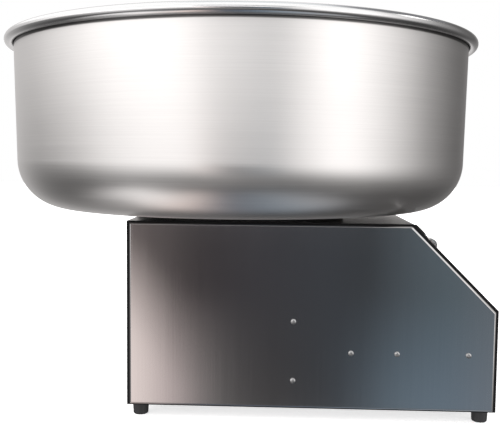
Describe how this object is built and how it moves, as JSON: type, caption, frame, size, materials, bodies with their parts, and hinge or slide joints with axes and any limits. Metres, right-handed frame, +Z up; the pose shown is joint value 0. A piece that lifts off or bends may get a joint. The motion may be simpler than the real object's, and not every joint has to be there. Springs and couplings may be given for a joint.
{
  "type": "cotton candy machine",
  "caption": "Countertop cotton candy machine: lift-off steel bowl over a spinning sugar head, on a sheet metal base with slanted controls and a drawer.",
  "frame": {"origin": "on the floor, on the axis of the bowl and the spinner", "axes": "+X to the front, where the slanted panel and the drawer are; +Y to the operator's right; +Z up"},
  "size_m": [0.5218, 0.52, 0.3902],
  "materials": {
    "stainless_bowl": "satin, brushed round",
    "stainless_case": "brushed upright",
    "stainless_drawer": "brushed upright",
    "stainless_head": "satin",
    "side_plate_black": "satin black powder coat",
    "seat_black": "matte black",
    "seal_rubber": "matte black",
    "foot_rubber": "matte black",
    "inner_steel": "galvanised",
    "screw_steel": "bright zinc",
    "brass": "machined",
    "carbon": "pressed carbon",
    "spring_bronze": "spring strip",
    "phenolic_black": "moulded",
    "cream_plastic": "moulded",
    "motor_paint": "semi gloss",
    "motor_iron": "laminated",
    "aluminium": "cast or turned",
    "board_green": "solder mask",
    "black_plastic": "satin moulded",
    "boot_clear": "clear soft cover",
    "rocker_red": "translucent red",
    "rocker_black": "moulded",
    "heater_ceramic": "bare",
    "runner_plastic": "moulded"
  },
  "bodies": {
    "base": {"side_panel_left": "stainless_case", "side_panel_right": "stainless_case", "side_plate_left": "side_plate_black", "side_plate_right": "side_plate_black", "top_plate": "stainless_case", "control_panel": "stainless_case", "front_frame": "stainless_case", "back_panel": "stainless_case", "bottom_plate": "inner_steel", "partition": "inner_steel", "drawer_runners": "runner_plastic", "feet": "foot_rubber", "foot_screws": "screw_steel", "side_screws": "screw_steel", "seat_ring": "seat_black", "centring_collar": "stainless_case", "top_plate_screws": "screw_steel", "brush_block": "phenolic_black", "carbon_brushes": "carbon", "brush_springs": "spring_bronze", "motor_housing": "motor_paint", "stator_core": "motor_iron", "motor_top_bell": "aluminium", "motor_bottom_bell": "aluminium", "motor_bearings": "screw_steel", "motor_posts": "inner_steel", "run_capacitor": "aluminium", "control_board": "board_green", "board_parts": "black_plastic", "heat_sink": "aluminium", "terminal_block": "cream_plastic", "power_inlet": "black_plastic", "inlet_pins": "brass", "fuse_holder": "black_plastic", "switch_bezels": "black_plastic", "switch_boots": "boot_clear", "potentiometer": "inner_steel"},
    "bowl": {"bowl_wall": "stainless_bowl", "bowl_bottom": "stainless_bowl", "bowl_seal": "seal_rubber"},
    "spinner": {"drive_shaft": "inner_steel", "rotor_core": "motor_iron", "cooling_fan": "black_plastic", "insulating_hub": "cream_plastic", "slip_rings": "brass", "terminal_posts": "brass", "head_plate": "aluminium", "heater_ring": "heater_ceramic", "spinner_band": "stainless_head", "head_cap": "aluminium", "sugar_cup": "aluminium", "head_fasteners": "screw_steel"},
    "drawer": {"drawer_tray": "stainless_drawer", "drawer_front": "stainless_drawer", "drawer_pull": "black_plastic", "drawer_rails": "runner_plastic"},
    "power_switch": {"power_rocker": "rocker_red"},
    "heat_switch": {"heat_rocker": "rocker_black"},
    "knob": {"heat_knob": "black_plastic", "pot_shaft": "aluminium"}
  },
  "joints": [
    {"name": "bowl_lift", "type": "slide", "parent": "base", "child": "bowl", "axis": [0, 0, 1], "range_m": [0, 0.25]},
    {"name": "spinner_spin", "type": "hinge", "parent": "base", "child": "spinner", "pos_m": [0, 0, 0.23], "axis": [0, 0, 1], "continuous": true},
    {"name": "drawer_slide", "type": "slide", "parent": "base", "child": "drawer", "axis": [1, 0, 0], "range_m": [0, 0.12]},
    {"name": "power_rocker_tilt", "type": "hinge", "parent": "base", "child": "power_switch", "pos_m": [0.20847, -0.046, 0.16903], "axis": [0.7071, 0, -0.7071], "range_deg": [0, 20]},
    {"name": "heat_rocker_tilt", "type": "hinge", "parent": "base", "child": "heat_switch", "pos_m": [0.20847, 0, 0.16903], "axis": [0.7071, 0, -0.7071], "range_deg": [0, 20]},
    {"name": "knob_turn", "type": "hinge", "parent": "base", "child": "knob", "pos_m": [0.20847, 0.046, 0.16903], "axis": [0.7071, 0, 0.7071], "range_deg": [-270, 0]}
  ]
}
